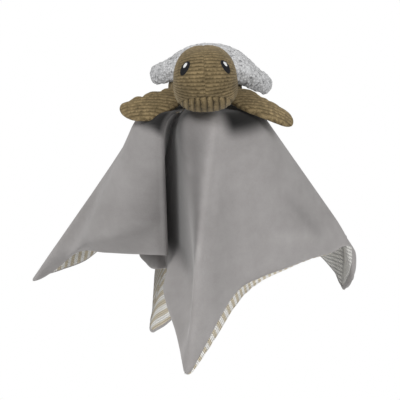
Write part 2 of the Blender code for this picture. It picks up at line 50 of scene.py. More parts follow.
camera_data = bpy.data.cameras.new("camera")
camera_data.sensor_width = 36
camera_data.lens = 175.6
camera_data.clip_start = 0.1
camera_data.clip_end = 20
camera = bpy.data.objects.new("camera", camera_data)
bpy.context.collection.objects.link(camera)
camera.location = (0, -1.565, 0.3327)
camera_aim = Vector((-0.0041, -0.0162, -0.0752))
camera.rotation_euler = (camera_aim - camera.location).to_track_quat("-Z", "Y").to_euler()
bpy.context.scene.camera = camera

# Blanket: a square of smooth grey velour and a square of striped cotton knit, sewn face to
# face round the hem, turned and draped, with the turtle sewn on over its middle.
# The two cloths share one draped surface; the seam lies now on the edge, now in front of it.

BLANKET_SIDE = 0.370
CORNER_RADIUS = 0.014
FLAT_LIMIT = 0.044
SHOULDER_LENGTH = 0.030
HEM_LENGTH = 0.052
HEM_BEND = 0.026
MIDDLE_HEIGHT = 0.00085
HALF_THICKNESS = 0.0012
CLOTH_WALL = 0.0005
CLOTH_LINES = 540
EDGE_DRAWN = 0.0006
EDGE_WIDTH = 0.0012

# Cloth angle from the front corner towards the left, angle of fall, flat share, then lean to
# the right and forward, above and at the hem.
FOLDS = np.array((
    (0, -5, 0.82, -0.09, 0.07, -0.09, 0.07),
    (10, 22, 0.75, 0.07, -0.15, -0.45, 0.11),
    (16, 29, 0.64, -0.01, -0.46, -0.32, 0.34),
    (20, 34, 0.55, -0.06, -0.50, -0.05, -0.19),
    (24, 39, 0.48, -0.10, -0.50, 0.04, -0.28),
    (28, 43, 0.43, -0.14, -0.50, -0.03, -0.04),
    (34, 50, 0.39, -0.16, -0.41, -0.16, -0.41),
    (41, 58, 0.36, -0.19, -0.45, -0.19, -0.45),
    (47, 53, 0.50, -0.11, -0.49, -0.11, -0.49),
    (52, 46, 0.70, -0.03, -0.45, -0.03, -0.45),
    (56, 41, 0.86, 0.02, -0.41, 0.02, -0.41),
    (60, 43, 0.95, 0.01, -0.41, 0.01, -0.41),
    (67, 49, 1.00, -0.07, -0.37, -0.10, -0.60),
    (75, 59, 1.00, -0.23, -0.32, -0.20, -0.80),
    (82, 69, 1.00, -0.34, -0.36, -0.32, -0.80),
    (86, 82, 0.84, -0.40, -0.38, -0.42, -0.60),
    (90, 96, 0.68, -0.50, -0.33, -0.50, -0.33),
    (98, 119, 0.34, -0.50, -0.33, -0.50, -0.33),
    (105, 127, 0.34, -0.45, -0.33, -0.45, -0.33),
    (112, 133, 0.32, -0.41, -0.38, -0.41, -0.38),
    (120, 138, 0.32, -0.35, -0.44, -0.35, -0.44),
    (127, 143, 0.32, -0.31, -0.34, -0.31, -0.34),
    (135, 148, 0.32, -0.24, -0.35, -0.24, -0.35),
    (150, 158, 0.30, -0.20, -0.31, -0.20, -0.31),
    (162, 167, 0.30, -0.21, -0.28, -0.21, -0.28),
    (171, 173, 0.30, -0.21, -0.25, -0.21, -0.25),
    (180, 180, 0.30, -0.21, -0.23, -0.21, -0.23),
    (190, 188, 0.32, -0.17, -0.08, -0.17, -0.08),
    (204, 199, 0.32, 0.00, -0.38, 0.00, -0.38),
    (218, 212, 0.32, 0.09, -0.21, 0.09, -0.21),
    (232, 226, 0.36, 0.18, -0.40, 0.18, -0.40),
    (244, 240, 0.45, 0.30, -0.26, 0.30, -0.26),
    (254, 249, 0.45, 0.38, -0.40, 0.38, -0.40),
    (262, 257, 0.45, 0.46, -0.41, 0.19, -0.19),
    (267, 263, 0.52, 0.47, -0.41, 0.02, -0.15),
    (271, 267, 0.59, 0.47, -0.41, 0.00, -0.02),
    (275, 271, 0.64, 0.48, -0.40, 0.24, 0.09),
    (280, 276, 0.68, 0.49, -0.40, 0.43, -0.36),
    (286, 282, 0.73, 0.46, -0.40, 0.46, -0.40),
    (293, 289, 0.80, 0.39, -0.31, 0.39, -0.31),
    (302, 298, 0.82, 0.32, -0.24, 0.32, -0.24),
    (315, 310, 0.82, 0.20, -0.14, 0.20, -0.14),
    (330, 325, 0.82, 0.09, -0.12, 0.09, -0.12),
    (345, 341, 0.82, 0.02, -0.09, 0.02, -0.09),
    (353, 348, 0.82, -0.04, 0.03, -0.04, 0.03),
))

# Cloth angle, and how far the knit shows in front of the hem there, in millimetres.
SEAM_ROLL = np.array((
    (0, 1.0),
    (6, -2.4),
    (60, -2.4),
    (120, -2.4),
    (180, -3.5),
    (262, -2.4),
    (267, -3.0),
    (272, -8.0),
    (276, -11.0),
    (282, -10.0),
    (287, -2.0),
    (292, 0.2),
    (304, 0.8),
    (318, 2.4),
    (328, 4.5),
    (337, 9.5),
    (344, 12.5),
    (351, 12.0),
    (356, 7.0),
))

# Painted highlights and painted shade along soft creases of the velour on the uncut cloth, in
# millimetres to the right and back of its middle: both ends, half width, and how much lighter the
# painted highlight, or where negative how much darker the painted shade, makes the velour along
# them.
CREASE_LIGHT_AND_SHADE = (
    (1.6, -45, -1.3, -153, 4.0, 0.22),
    (-1.3, -153, -11.2, -214, 4.5, 0.22),
    (-11.2, -214, -19, -242, 4.5, 0.14),
    (-6, -45, -9, -150, 10.0, -0.42),
    (-8, -42, -11, -85, 2.5, 0.12),
    (118, -71, 160, -71, 8.0, -0.16),
    (108, -110, 167, -71, 7.0, 0.13),
    (-194, -28, -206, -31, 5.0, -0.16),
)
# Painted shadows on the cloth beside the chin and the flippers: first and last cloth angle,
# softness, then in millimetres its reach from the middle and the length of its fading, and its
# strength.
PAINTED_SHADOWS = (
    (-78, -8, 16, 66, 16, 0.97),
    (52, 80, 8, 68, 10, 0.95),
    (4, 30, 8, 46, 10, 0.75),
)
# Painted shade in the deep pleat: first and last cloth angle, softness, where its darkening starts
# and how long it takes, where it ends and how long it takes, in millimetres from the middle, and
# its strength.
PLEAT_SHADE = (6, 55, 8, 28, 12, 192, 24, 0.74)
# Painted light on the lower cloth: share, start and length; and painted highlight along the hem:
# share, half width.
LOWER_PAINTED_LIGHT = (0.06, 140, 70)
HEM_PAINTED_HIGHLIGHT = (0.16, 2.2)


def around(table, column, angle):
    """Cubic through the table's rows, periodic in the cloth angle, with parabolic slopes."""
    knots = table[:, 0]
    values = table[:, column]
    x = np.concatenate([knots[-2:] - 360, knots, knots[:2] + 360])
    y = np.concatenate([values[-2:], values, values[:2]])
    width = np.diff(x)
    slope = np.diff(y) / width
    bend = np.zeros(len(x))
    bend[1:-1] = (slope[:-1] * width[1:] + slope[1:] * width[:-1]) / (width[:-1] + width[1:])
    i = np.clip(np.searchsorted(x, angle, side="right") - 1, 1, len(x) - 3)
    t = (angle - x[i]) / width[i]
    return (
        (2 * t**3 - 3 * t**2 + 1) * y[i]
        + (t**3 - 2 * t**2 + t) * width[i] * bend[i]
        + (3 * t**2 - 2 * t**3) * y[i + 1]
        + (t**3 - t**2) * width[i] * bend[i + 1]
    )


def ease(x):
    """0 below 0, 1 above 1, and 3x^2 - 2x^3 between."""
    x = np.clip(x, 0, 1)
    return x * x * (3 - 2 * x)


def bell(distance, width):
    """exp(-(distance / width)^2)"""
    return np.exp(-((distance / width) ** 2))


def hem_distance(angle):
    """Half side over the cosine to the nearest side, or the corner's arc where that is nearer."""
    off = np.radians(np.abs((angle + 45) % 90 - 45))
    straight = BLANKET_SIDE / 2 / np.cos(math.pi / 4 - off)
    centre = (BLANKET_SIDE / 2 - CORNER_RADIUS) * math.sqrt(2)
    beyond = np.sqrt(np.maximum(CORNER_RADIUS**2 - (centre * np.sin(off)) ** 2, 0))
    arc = centre * np.cos(off) + beyond
    leg = CORNER_RADIUS / math.sqrt(2)
    return np.where(off < math.atan2(leg, centre + leg), arc, straight)


def draped_lines(angle, steps=260):
    """Each line of cloth from the middle to the hem: the running sum of its unit direction,
    which is flat first, then leans as the table says and drops by what is left of the unit."""
    reach = hem_distance(angle)
    turned = FOLDS.copy()
    turned[:, 1] -= turned[:, 0]
    fall = np.radians(angle + around(turned, 1, angle))
    start = np.stack([-np.sin(fall), np.cos(fall)], -1)
    flat = around(FOLDS, 2, angle) * FLAT_LIMIT
    upper = np.stack([around(FOLDS, 3, angle), around(FOLDS, 4, angle)], -1)
    lower = np.stack([around(FOLDS, 5, angle), around(FOLDS, 6, angle)], -1)
    run = np.linspace(0, 1, steps + 1)[None, :] * reach[:, None]
    middle = (run[:, 1:] + run[:, :-1]) / 2
    over = ease((middle - flat[:, None]) / SHOULDER_LENGTH)[..., None]
    hem = ease((middle - reach[:, None] + HEM_LENGTH) / HEM_BEND)[..., None]
    lean = (1 - over) * start[:, None] + over * ((1 - hem) * upper[:, None] + hem * lower[:, None])
    lean = lean / np.maximum(np.linalg.norm(lean, axis=-1, keepdims=True), 1)
    drop = np.sqrt(np.maximum(1 - (lean**2).sum(-1), 0))
    step = np.diff(run, axis=1)
    path = np.zeros((len(angle), steps + 1, 3))
    path[:, 1:, 0] = np.cumsum(lean[..., 0] * step, axis=1)
    path[:, 1:, 1] = -np.cumsum(lean[..., 1] * step, axis=1)
    path[:, 1:, 2] = -np.cumsum(drop * step, axis=1)
    path[..., 2] += MIDDLE_HEIGHT
    return path, reach


def sample(lines, share):
    """Values along each line at shares 0 to 1, linear between its points."""
    at = np.clip(share, 0, 1) * (lines.shape[1] - 1)
    low = np.minimum(at.astype(int), lines.shape[1] - 2)
    part = (at - low)[..., None]
    row = np.arange(lines.shape[0])[:, None]
    return lines[row, low] * (1 - part) + lines[row, low + 1] * part


def unit(vectors):
    """Vectors divided by their length."""
    return vectors / np.maximum(np.linalg.norm(vectors, axis=-1, keepdims=True), 1e-12)


def grid_piece(name, points, wrap, flip=False, uv=None, first=None, last=None):
    """Mesh of a grid of points, rows by columns, closed across the columns where wrap is true.
    first and last are points that close the ends; uv gives a pattern place for each point."""
    rows, columns = points.shape[:2]
    index = np.arange(rows * columns).reshape(rows, columns)
    beside = np.roll(index, -1, axis=1)
    if not wrap:
        index, beside = index[:, :-1], beside[:, :-1]
    quads = np.stack([index[:-1], beside[:-1], beside[1:], index[1:]], -1).reshape(-1, 4)
    faces = quads[:, ::-1].tolist() if flip else quads.tolist()
    corners = points.reshape(-1, 3)
    places = None if uv is None else uv.reshape(-1, 2)
    for point, ring, way in ((first, 0, 1), (last, -1, -1)):
        if point is None:
            continue
        tip = len(corners)
        corners = np.concatenate([corners, np.array(point)[None, :]])
        if places is not None:
            places = np.concatenate([places, places.reshape(-1, 2)[index[ring]].mean(0)[None]])
        fan = np.stack([np.full(index.shape[1], tip), beside[ring], index[ring]], -1)[:, ::way]
        faces += fan[:, ::-1].tolist() if flip else fan.tolist()
    mesh = bpy.data.meshes.new(name)
    mesh.from_pydata(corners.tolist(), [], faces)
    if places is not None:
        layer = mesh.uv_layers.new(name="cloth")
        corner = np.zeros(len(mesh.loops), dtype=np.int32)
        mesh.loops.foreach_get("vertex_index", corner)
        layer.data.foreach_set("uv", places[corner].astype(np.float32).ravel())
    mesh.update()
    mesh.shade_smooth()
    piece = bpy.data.objects.new(name, mesh)
    bpy.context.collection.objects.link(piece)
    return piece


cloth_angle = np.arange(CLOTH_LINES) * 360.0 / CLOTH_LINES
cloth_path, cloth_reach = draped_lines(cloth_angle)
across = np.roll(cloth_path, -1, axis=0) - np.roll(cloth_path, 1, axis=0)
along = np.gradient(cloth_path, axis=1)
facing = unit(np.cross(across, along))
# Around the middle the cloth lies flat, and its lines are too close there for a cross product.
facing[:, :8] = (0, 0, 1)
facing = np.where(np.linalg.norm(facing, axis=-1, keepdims=True) < 0.5, (0.0, 0.0, 1.0), facing)
outward_way = unit(along)


def pillow(run):
    """Point at a run from the middle of the top, round the hem's half circle, to the middle below.
    run has one row of distances for each line."""
    body = (cloth_reach - HALF_THICKNESS)[:, None]
    turn = np.clip((run - body) / HALF_THICKNESS, 0, math.pi)[..., None]
    under = np.maximum(run - body - math.pi * HALF_THICKNESS, 0)
    share = (np.minimum(run, body) - under) / cloth_reach[:, None]
    centre = sample(cloth_path, share)
    return (
        centre
        + sample(facing, share) * HALF_THICKNESS * np.cos(turn)
        + sample(outward_way, share) * HALF_THICKNESS * np.sin(turn)
    )


def flat_place(run):
    """Place of the same points on the uncut cloth, along its front right side and along its
    front left side."""
    total = (2 * (cloth_reach - HALF_THICKNESS) + math.pi * HALF_THICKNESS)[:, None]
    distance = np.minimum(run, total - run)
    turn = np.radians(cloth_angle)[:, None]
    right = -np.sin(turn) * distance
    back = -np.cos(turn) * distance
    return np.stack([(right + back) / math.sqrt(2), (back - right) / math.sqrt(2)], -1)


# Shares of the run from the middle to the seam, closer together towards the seam.
cloth_rows = np.concatenate([
    np.linspace(0.004, 0.80, 62),
    np.linspace(0.81, 0.975, 16),
    1 - np.array([0.020, 0.015, 0.011, 0.008, 0.0055, 0.0035, 0.002, 0.0008, 0.0]),
])
roll_angle = np.append(SEAM_ROLL[:, 0], 360)
seam_roll = np.interp(cloth_angle, roll_angle, np.append(SEAM_ROLL[:, 1], SEAM_ROLL[0, 1]))
seam_run = cloth_reach - HALF_THICKNESS + math.pi / 2 * HALF_THICKNESS - seam_roll / 1000
full_run = 2 * (cloth_reach - HALF_THICKNESS) + math.pi * HALF_THICKNESS


def span(value, low, high, soft):
    """1 between low and high, eased to 0 within soft of each."""
    return ease((value - low) / soft) * ease((high - value) / soft)


def painted_shading(run):
    """Painted light and shade of the velour: lighter towards the lower cloth, a painted highlight
    along the hem, painted highlights and painted shade in bells along the creases, and painted
    shade in the deep pleat and where the cloth comes out from under the head and the flippers."""
    distance = np.minimum(run, full_run[:, None] - run) * 1000
    turn = np.radians(cloth_angle)[:, None]
    right, back = -np.sin(turn) * distance, -np.cos(turn) * distance
    # Painted light: the lower cloth is made lighter.
    share, start, fade = LOWER_PAINTED_LIGHT
    total = 1 + share * ease((distance - start) / fade)
    # Painted highlight along the hem.
    share, width = HEM_PAINTED_HIGHLIGHT
    total = total + share * bell(cloth_reach[:, None] * 1000 - distance, width)
    # Painted highlights and painted shade along the creases.
    for x0, y0, x1, y1, width, strength in CREASE_LIGHT_AND_SHADE:
        length = math.hypot(x1 - x0, y1 - y0)
        at = ((right - x0) * (x1 - x0) + (back - y0) * (y1 - y0)) / length
        off = np.hypot(right - x0, back - y0) ** 2 - at**2
        past = np.maximum(np.maximum(-at, at - length), 0)
        total = total + strength * bell(np.sqrt(np.maximum(off, 0)), width) * bell(past, 2 * width)
    angle = (cloth_angle[:, None] + 180) % 360 - 180
    # Painted shade in the deep pleat.
    low, high, soft, start, start_fade, end, end_fade, strength = PLEAT_SHADE
    shaded = ease((distance - start) / start_fade) * ease((end - distance) / end_fade)
    total = total * (1 - strength * span(angle, low, high, soft) * shaded)
    # Painted shadows beside the chin and the flippers.
    for low, high, soft, reach, fade, strength in PAINTED_SHADOWS:
        shaded = span(angle, low, high, soft) * ease((reach - distance) / fade)
        total = total * (1 - strength * shaded)
    return total


def cloth_half(name, side):
    """Velour (side 1) or knit (side -1): shares of the run from the middle to the seam, with the
    edge drawn in by a bell curve of distance from the seam."""
    length = seam_run if side == 1 else full_run - seam_run
    distance = cloth_rows[None, :] * length[:, None]
    run = distance if side == 1 else full_run[:, None] - distance
    points = pillow(run)
    centre = sample(cloth_path, np.minimum(run, full_run[:, None] - run) / cloth_reach[:, None])
    pull = EDGE_DRAWN * bell(length[:, None] - distance, EDGE_WIDTH)
    inward = unit(centre - points) * pull[..., None]
    points = points + inward
    place = flat_place(run)
    middle = (0, 0, MIDDLE_HEIGHT + side * HALF_THICKNESS)
    order = points.transpose(1, 0, 2)
    piece = grid_piece(name, order, True, side == -1, place.transpose(1, 0, 2), first=middle)
    # Only the velour carries the painted light and shade, as a point attribute.
    if side == 1:
        layer = piece.data.attributes.new("painted_shading", "FLOAT", "POINT")
        layer.data.foreach_set("value", np.append(painted_shading(run).T.ravel(), 1).astype(np.float32))
    return piece


def add(tree, kind, **values):
    """A shader node with its options and input values set."""
    item = tree.nodes.new(kind)
    for key, value in values.items():
        if hasattr(item, key):
            setattr(item, key, value)
        else:
            item.inputs[key.replace("_", " ")].default_value = value
    return item


def finish_of(name, roughness, sheen, tint, sheen_roughness=0.5):
    """An empty fabric finish: shader, object place and cloth place."""
    material = bpy.data.materials.new(name)
    material.use_nodes = True
    tree = material.node_tree
    shader = tree.nodes["Principled BSDF"]
    shader.inputs["Roughness"].default_value = roughness
    shader.inputs["Specular IOR Level"].default_value = 0.15
    shader.inputs["Sheen Weight"].default_value = sheen
    shader.inputs["Sheen Roughness"].default_value = sheen_roughness
    shader.inputs["Sheen Tint"].default_value = (*tint, 1)
    place = tree.nodes.new("ShaderNodeTexCoord")
    return material, tree, shader, place


def ramp(tree, source, stops):
    """Colour or grey steps over a 0 to 1 value."""
    item = tree.nodes.new("ShaderNodeValToRGB")
    table = item.color_ramp
    while len(table.elements) < len(stops):
        table.elements.new(0.5)
    for element, (at, colour) in zip(table.elements, stops):
        element.position = at
        element.color = (*colour, 1) if hasattr(colour, "__len__") else (colour, colour, colour, 1)
    tree.links.new(source, item.inputs[0])
    return item.outputs[0]


def blend_colour(tree, factor, first, second, mode="MIX"):
    """Mix of two colours, each a socket or a fixed colour."""
    item = tree.nodes.new("ShaderNodeMix")
    item.data_type = "RGBA"
    item.blend_type = mode
    sockets = item.inputs[0], item.inputs[6], item.inputs[7]
    for socket, value in zip(sockets, (factor, first, second)):
        if hasattr(value, "node"):
            tree.links.new(value, socket)
        elif hasattr(value, "__len__"):
            socket.default_value = (*value, 1)
        else:
            socket.default_value = value
    return item.outputs[2]


def sums(tree, operation, first, second=0.0, third=0.0):
    """A math node on sockets or numbers."""
    item = tree.nodes.new("ShaderNodeMath")
    item.operation = operation
    for socket, value in zip(item.inputs, (first, second, third)):
        if hasattr(value, "node"):
            tree.links.new(value, socket)
        else:
            socket.default_value = value
    return item.outputs[0]


def noise(tree, place, scale, detail=2.0, roughness=0.5):
    """Height of a noise texture at each place."""
    item = add(tree, "ShaderNodeTexNoise", Scale=scale, Detail=detail, Roughness=roughness)
    tree.links.new(place, item.inputs["Vector"])
    return item.outputs[0]


def relief(tree, shader, layers):
    """Bump from several heights, each with a distance in metres and a strength."""
    below = None
    for height, distance, strength in layers:
        item = add(tree, "ShaderNodeBump", Strength=strength, Distance=distance)
        tree.links.new(height, item.inputs["Height"])
        if below is not None:
            tree.links.new(below, item.inputs["Normal"])
        below = item.outputs[0]
    tree.links.new(below, shader.inputs["Normal"])


# Velour: a short brushed pile, grey with paler tips, lighter or darker in soft random patches, and
# multiplied by the painted light and shade of its point attribute.
velour, tree, shader, place = finish_of("velour", 0.92, 0.35, (0.95, 0.94, 0.93))
pile = noise(tree, place.outputs["Object"], 1400, 3, 0.6)
brushed = noise(tree, place.outputs["Object"], 26, 3, 0.55)
patches = noise(tree, place.outputs["Object"], 130, 2, 0.5)
grey = ramp(tree, brushed, ((0.35, (0.280, 0.265, 0.260)), (0.65, (0.360, 0.343, 0.339))))
pressed = ramp(tree, patches, ((0.3, (0.28, 0.266, 0.26)), (0.7, (0.35, 0.335, 0.33))))
grey = blend_colour(tree, 0.35, grey, pressed)
tips = ramp(tree, pile, ((0.3, (0.2, 0.19, 0.186)), (0.7, (0.45, 0.435, 0.43))))
grey = blend_colour(tree, 0.18, grey, tips)
# Painted light and shade: the velour's colour is multiplied by the point attribute, which is
# darker in the pleat and beside the chin and flippers, and lighter along the creases, the lower
# cloth and the hem.
painted_shading_node = add(tree, "ShaderNodeAttribute", attribute_name="painted_shading")
grey = blend_colour(tree, 1.0, grey, painted_shading_node.outputs["Fac"], "MULTIPLY")
tree.links.new(grey, shader.inputs["Base Color"])
relief(tree, shader, ((pile, 0.0004, 0.5), (patches, 0.0006, 0.25)))

# Striped knit: stitches along the cloth, courses across it, and a tan stripe every few courses.
# The stripes run out near the right corner, where slanted ridges show in the off-white.
STITCH_WIDTH = 0.0024
COURSE_HEIGHT = 0.0020
STRIPE_REPEAT = 0.0090
RIDGE_REPEAT = 0.0135
PLAIN_CORNER = (0.176, -0.176, 0)
PLAIN_REACH = 0.100

knit, tree, shader, place = finish_of("striped_knit", 0.9, 0.15, (1, 1, 1))
split = tree.nodes.new("ShaderNodeSeparateXYZ")
tree.links.new(place.outputs["UV"], split.inputs[0])
stitch = sums(tree, "MULTIPLY", split.outputs[1], 2 * math.pi / STITCH_WIDTH)
course = sums(tree, "MULTIPLY", split.outputs[0], 2 * math.pi / COURSE_HEIGHT)
loops = sums(tree, "SINE", stitch)
jog = sums(tree, "MULTIPLY", sums(tree, "SINE", sums(tree, "MULTIPLY", stitch, 0.5)), 0.6)
rows = sums(tree, "SINE", sums(tree, "ADD", course, jog))
jagged = sums(tree, "MULTIPLY", loops, 0.22)
stripe = sums(tree, "MULTIPLY_ADD", split.outputs[0], 2 * math.pi / STRIPE_REPEAT, jagged)
stripe = sums(tree, "ADD", sums(tree, "MULTIPLY", sums(tree, "SINE", stripe), 0.5), 0.5)
far = add(tree, "ShaderNodeVectorMath", operation="DISTANCE")
tree.links.new(place.outputs["UV"], far.inputs[0])
far.inputs[1].default_value = PLAIN_CORNER
near_plain = sums(tree, "DIVIDE", far.outputs["Value"], PLAIN_REACH)
plain = ramp(tree, near_plain, ((0.55, 0.22), (0.80, 1.0)))
stripe = sums(tree, "MULTIPLY", stripe, plain)
bands = ramp(tree, stripe, ((0.42, (0.98, 0.965, 0.92)), (0.58, (0.70, 0.62, 0.47))))
shade = sums(tree, "MULTIPLY_ADD", sums(tree, "MULTIPLY_ADD", loops, 0.35, rows), 0.37, 0.5)
bands = blend_colour(tree, 1.0, bands, ramp(tree, shade, ((0.10, 0.50), (0.50, 1.0))), "MULTIPLY")
slant = sums(tree, "MULTIPLY", course, 0.56)
slant = sums(tree, "MULTIPLY_ADD", split.outputs[1], -2 * math.pi / RIDGE_REPEAT, slant)
slant = sums(tree, "MULTIPLY_ADD", sums(tree, "SINE", slant), 0.5, 0.5)
ridges = blend_colour(tree, 1.0, bands, ramp(tree, slant, ((0.05, 0.40), (0.40, 1.0))), "MULTIPLY")
bands = blend_colour(tree, plain, ridges, bands)
fuzz = noise(tree, place.outputs["Object"], 1500, 3, 0.6)
tree.links.new(bands, shader.inputs["Base Color"])
relief(tree, shader, ((rows, 0.0004, 0.7), (loops, 0.0003, 0.6), (fuzz, 0.0003, 0.3)))

for name, side, nodes, finish, slot in (
    ("blanket_velour", 1, "blanket_velour_panel", velour, "velour_grey"),
    ("blanket_knit", -1, "blanket_knit_panel", knit, "knit_stripe"),
):
    piece = cloth_half(name, side)
    piece.data.materials.append(finish)
    wall = piece.modifiers.new("thickness", "SOLIDIFY")
    wall.thickness = CLOTH_WALL
    wall.offset = -1
    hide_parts(nodes)
    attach(piece, "blanket")

# Body: a flat stuffed bag of corduroy, back and belly panel, that lies on the blanket and
# carries the rest. Only its left shoulder shows between shell and flipper. It is hollow in
# front, where the head turns, so the head's egg is worked out here too.

BODY_MIDDLE = np.array((0, 0.0150, 0.0131))
BODY_HALF = np.array((0.0310, 0.0400, 0.0108))
WALE = 0.0031
OLIVE_FLANK = (0.250, 0.185, 0.094)
OLIVE_CREST = (0.345, 0.260, 0.138)
OLIVE_GROOVE = (0.105, 0.077, 0.038)
GROOVE_DARK = (0.028, 0.020, 0.010)
GROOVE_PALE = (0.165, 0.121, 0.062)
BODY_RELIEF = 0.02


def corduroy(name, groove, fine, dark=OLIVE_GROOVE, gain=1.0):
    """Olive corduroy: a dark groove where the cloth place's second number is whole. groove is
    its share of a wale, fine the depth of the tufts' shade, gain the lightness of the rest."""
    material, tree, shader, place = finish_of(name, 0.95, 0.45, (0.62, 0.55, 0.42), 0.45)
    split = tree.nodes.new("ShaderNodeSeparateXYZ")
    tree.links.new(place.outputs["UV"], split.inputs[0])
    tufts = noise(tree, place.outputs["Object"], 420, 2, 0.6)
    bent = sums(tree, "MULTIPLY_ADD", tufts, 0.7, split.outputs[1])
    within = sums(tree, "PINGPONG", bent, 0.5)
    crest = sums(tree, "MULTIPLY", within, 2.0)
    pile = noise(tree, place.outputs["Object"], 1700, 3, 0.65)
    worn = noise(tree, place.outputs["Object"], 90, 3, 0.6)
    flank = [gain * part for part in OLIVE_FLANK]
    light = [gain * part for part in OLIVE_CREST]
    olive = ramp(tree, crest, ((0.0, dark), (groove, flank), (1.0, light)))
    for layer, low, high, least in (
        (worn, 0.35, 0.65, 0.72),
        (tufts, 0.38, 0.62, 1 - fine),
        (pile, 0.3, 0.7, 0.7),
    ):
        shade = ramp(tree, layer, ((low, least), (high, 1.0)))
        olive = blend_colour(tree, 1.0, olive, shade, "MULTIPLY")
    tree.links.new(olive, shader.inputs["Base Color"])
    relief(tree, shader, ((pile, 0.0003, 0.5), (tufts, 0.0005, 0.35)))
    return material


head_cord = corduroy("corduroy", 0.40, 0.36)
chin_cord = corduroy("corduroy_chin", 0.42, 0.30, GROOVE_DARK)
flipper_cord = corduroy("corduroy_flipper", 0.30, 0.40, GROOVE_PALE, 1.2)


def wale(count):
    """Height of a wale, 0 in the groove and 1 on the crest: 1 - |2x - 1|^2.5 over each period."""
    return 1 - np.abs(2 * (count % 1) - 1) ** 2.5


# Egg of the head: half width, half height, half length, how much it swells towards the nose
# and the jaw, the power of its section, its middle and its turn. Then the room at the neck.
HEAD_SIDE = 0.0248
HEAD_CROWN = 0.0251
HEAD_REACH = 0.0296
HEAD_SWELL = 0.12
HEAD_JAW = 0.08
HEAD_POWER = 2.6
HEAD_MIDDLE = np.array((0, -0.0410, 0.0322))
HEAD_ROLL = Matrix.Rotation(math.radians(-3), 3, "Y")
HEAD_NOD = Matrix.Rotation(math.radians(16), 3, "X")
HEAD_TURN = np.array(HEAD_ROLL @ HEAD_NOD)
NECK_ROOM = 0.0012
HEAD_TILTS = np.radians(np.linspace(-25, 25, 9))


def egg_reach(way):
    """Distance from the middle to the egg along unit directions in head axes, by halving.
    At a share a of its reach the section is (|x|^p + |z|^p)^(1/p) = sqrt(1 - a^2) (1 + swell a),
    x and z in shares of its half width and height, the width growing a little downwards."""
    low = np.zeros(way.shape[:-1])
    high = np.full(way.shape[:-1], HEAD_REACH * 1.01)
    for _ in range(30):
        middle = (low + high) / 2
        trial = way * middle[..., None]
        axial = -trial[..., 1] / HEAD_REACH
        limit = np.sqrt(np.maximum(1 - axial**2, 0)) * (1 + HEAD_SWELL * axial)
        up = trial[..., 2] / HEAD_CROWN
        across = trial[..., 0] / HEAD_SIDE / (1 - HEAD_JAW * up)
        outside = np.abs(across) ** HEAD_POWER + np.abs(up) ** HEAD_POWER > limit**HEAD_POWER
        high = np.where(outside, middle, high)
        low = np.where(outside, low, middle)
    return low


def clear_of_head(points):
    """Points moved straight away from the head's middle, at least as far as its egg reaches
    there at any of its tilts about the line from neck to nose, and a little further."""
    off = (points - HEAD_MIDDLE) @ HEAD_TURN
    far = np.linalg.norm(off, axis=-1)
    near = far < HEAD_REACH + 5 * NECK_ROOM
    way = off[near] / far[near][:, None]
    reach = np.zeros(len(way))
    for tilt in HEAD_TILTS:
        x = way[:, 0] * math.cos(tilt) - way[:, 2] * math.sin(tilt)
        z = way[:, 0] * math.sin(tilt) + way[:, 2] * math.cos(tilt)
        reach = np.maximum(reach, egg_reach(np.stack([x, way[:, 1], z], -1)))
    moved = points.copy()
    off[near] = way * np.maximum(far[near], reach + NECK_ROOM)[:, None]
    moved[near] = off[near] @ HEAD_TURN.T + HEAD_MIDDLE
    return moved


def body_half(name, side):
    """Squared bag: sin^0.85 of the polar angle times the half sizes, wales running lengthwise,
    kept clear of the head."""
    polar = np.linspace(0.02, math.pi / 2, 60)[:, None]
    turn = np.linspace(0, 2 * math.pi, 160, endpoint=False)[None, :]
    radius = np.sin(polar) ** 0.85
    x = radius * np.sin(turn) * BODY_HALF[0]
    y = radius * np.cos(turn) * BODY_HALF[1]
    z = side * np.cos(polar) * BODY_HALF[2] * np.ones_like(turn)
    points = np.stack([x, y, z], -1)
    count = x / WALE
    ribbed = points * (1 + BODY_RELIEF * (wale(count) - 1))[..., None]
    points = clear_of_head(ribbed + BODY_MIDDLE)
    tip = BODY_MIDDLE + (0, 0, side * BODY_HALF[2] * 0.99)
    place = np.stack([y / WALE, count], -1)
    return grid_piece(name, points, True, side == 1, place, first=tip)


for name, side, nodes in (
    ("body_back", 1, ("body_back_panel", "body_stuffing")),
    ("body_belly", -1, ("body_belly_panel",)),
):
    piece = body_half(name, side)
    piece.data.materials.append(head_cord)
    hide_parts(*nodes)
    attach(piece, "blanket")

# Shell: a dome of looped grey knit with dark flecks, sewn to an underside of the same cloth
# round a puffed rim and filled firmly. It is sewn on over the body and lifts at the neck.

SHELL_MIDDLE = np.array((0.0050, 0.0396, 0.0146))
SHELL_HALF_WIDTH = 0.0510
SHELL_HALF_LENGTH = 0.0520
SHELL_RISE = 0.0290
SHELL_FRONT_LIFT = 0.0205
SHELL_TILT = math.radians(5.2)
SHELL_TAPER = 0.10
LOOP_HEIGHT, LOOP_SIZE = 0.00135, 0.0042
TUFT_HEIGHT, TUFT_SIZE = 0.0014, 0.013
# Share of the half width, share of the rise, from the crown out to the rim and back in below.
SHELL_SECTION = np.array((
    (0.00, 1.00),
    (0.26, 0.97),
    (0.50, 0.79),
    (0.70, 0.515),
    (0.84, 0.315),
    (0.94, 0.215),
    (1.00, 0.07),
    (0.985, -0.12),
    (0.91, -0.24),
    (0.80, -0.08),
    (0.68, 0.16),
    (0.55, 0.265),
    (0.30, 0.30),
    (0.00, 0.30),
))
RIM_KNOT = 6
LAST_KNOT = len(SHELL_SECTION) - 1
STEPS_PER_KNOT = 20


def between(a, b, c, d, t):
    """Catmull-Rom cubic from b to c for t from 0 to 1, with a before and d after them."""
    bend = (2 * a - 5 * b + 4 * c - d) * t**2 + (3 * b - 3 * c + d - a) * t**3
    return 0.5 * (2 * b + (c - a) * t + bend)


